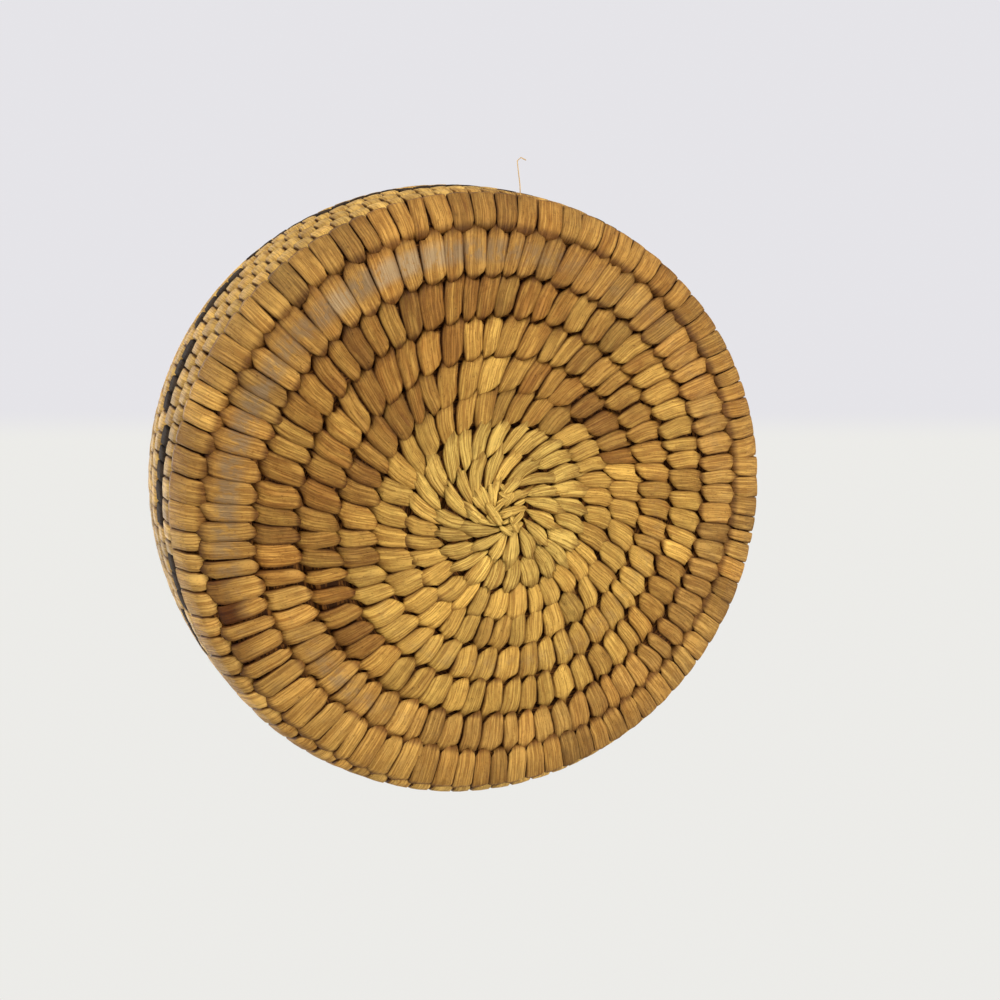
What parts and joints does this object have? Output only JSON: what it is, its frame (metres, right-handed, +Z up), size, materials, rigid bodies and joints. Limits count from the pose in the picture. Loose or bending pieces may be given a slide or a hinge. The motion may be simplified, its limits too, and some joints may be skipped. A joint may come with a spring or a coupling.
{
  "type": "coiled basket bowl",
  "caption": "Round bowl with a domed base and a bulging wall, made of a stitched spiral coil, with a dark stepped zigzag round the wall; it stands on a ring of its base.",
  "frame": {"origin": "under the middle of the base, on the surface that the bowl stands on", "axes": "+Z up through the open top; the wall seen in the picture faces -Y"},
  "size_m": [0.1623, 0.1622, 0.0763],
  "materials": {
    "centre_strips": "split leaf strips, yellow-green, satin",
    "base_strips": "split leaf strips, golden brown, satin",
    "worn_strips": "split leaf strips, golden brown rubbed grey, matt",
    "wall_strips": "split leaf strips, light gold, satin",
    "dark_strips": "split strips, brown-black, satin",
    "grass_bundle": "dry brown grass stems, matt"
  },
  "bodies": {
    "root": {"start_knot": "centre_strips", "foundation_coil": "grass_bundle", "centre_stitches": "centre_strips", "inner_base_stitches": "base_strips", "outer_base_stitches": "base_strips", "resting_round_stitches": "worn_strips", "corner_round_stitches": "worn_strips", "lower_wall_stitches": "wall_strips", "light_stitches_01": "wall_strips", "light_stitches_02": "wall_strips", "light_stitches_03": "wall_strips", "light_stitches_04": "wall_strips", "light_stitches_05": "wall_strips", "light_stitches_06": "wall_strips", "light_stitches_07": "wall_strips", "light_stitches_08": "wall_strips", "light_stitches_09": "wall_strips", "light_stitches_10": "wall_strips", "light_stitches_11": "wall_strips", "light_stitches_12": "wall_strips", "light_stitches_13": "wall_strips", "light_stitches_14": "wall_strips", "light_stitches_15": "wall_strips", "light_stitches_16": "wall_strips", "light_stitches_17": "wall_strips", "light_stitches_18": "wall_strips", "light_stitches_19": "wall_strips", "light_stitches_20": "wall_strips", "light_stitches_21": "wall_strips", "light_stitches_22": "wall_strips", "upper_wall_stitches_1": "wall_strips", "upper_wall_stitches_2": "wall_strips", "rim_stitches": "wall_strips", "rim_end_stitches": "wall_strips", "dark_stitches_01": "dark_strips", "dark_stitches_02": "dark_strips", "dark_stitches_03": "dark_strips", "dark_stitches_04": "dark_strips", "dark_stitches_05": "dark_strips", "dark_stitches_06": "dark_strips", "dark_stitches_07": "dark_strips", "dark_stitches_08": "dark_strips", "dark_stitches_09": "dark_strips", "dark_stitches_10": "dark_strips", "dark_stitches_11": "dark_strips", "dark_stitches_12": "dark_strips", "dark_stitches_13": "dark_strips", "dark_stitches_14": "dark_strips", "dark_stitches_15": "dark_strips", "dark_stitches_16": "dark_strips", "dark_stitches_17": "dark_strips", "dark_stitches_18": "dark_strips", "dark_stitches_19": "dark_strips", "dark_stitches_20": "dark_strips", "dark_stitches_21": "dark_strips", "dark_stitches_22": "dark_strips", "dark_stitches_23": "dark_strips"}
  },
  "joints": []
}
